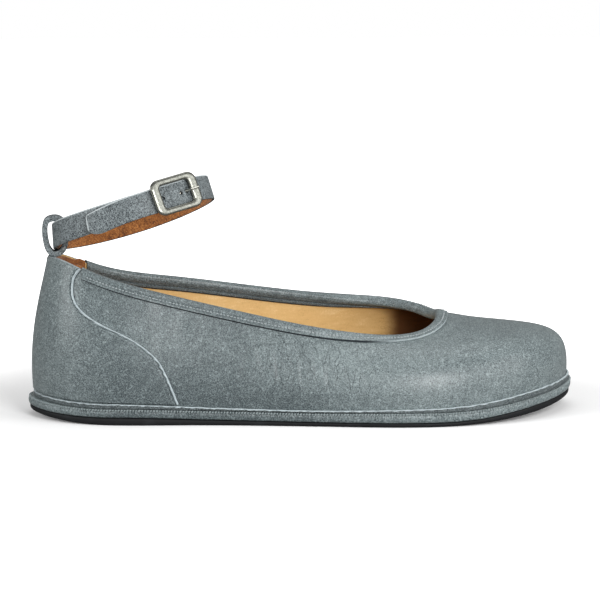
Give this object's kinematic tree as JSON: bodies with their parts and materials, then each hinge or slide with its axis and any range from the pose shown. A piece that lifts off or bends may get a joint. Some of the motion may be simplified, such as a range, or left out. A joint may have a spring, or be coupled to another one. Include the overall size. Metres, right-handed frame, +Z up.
{
  "type": "barefoot ballet flat",
  "caption": "Right ballet flat for barefoot walking: low leather upper with a wide toe box, thin flat sole, and a buckled ankle strap held by a loop at the heel.",
  "frame": {"origin": "middle of the bounding box in plan, at the height of the sole's flat underside", "axes": "+X from heel to toe, +Y towards the inner side of the foot, +Z up"},
  "size_m": [0.2572, 0.1008, 0.1156],
  "materials": {
    "grey_leather": "pebbled, satin",
    "tan_leather": "matt suede and smooth lining",
    "black_rubber": "matt",
    "steel": "antique silver"
  },
  "bodies": {
    "root": {"outsole": "black_rubber", "midsole": "grey_leather", "insole": "tan_leather", "upper": "grey_leather", "rand": "grey_leather", "heel_counter": "grey_leather", "heel_lining": "tan_leather", "collar_binding": "grey_leather", "heel_loop": "grey_leather", "ankle_strap": "grey_leather", "buckle_frame": "steel", "buckle_prong": "steel"}
  },
  "joints": []
}
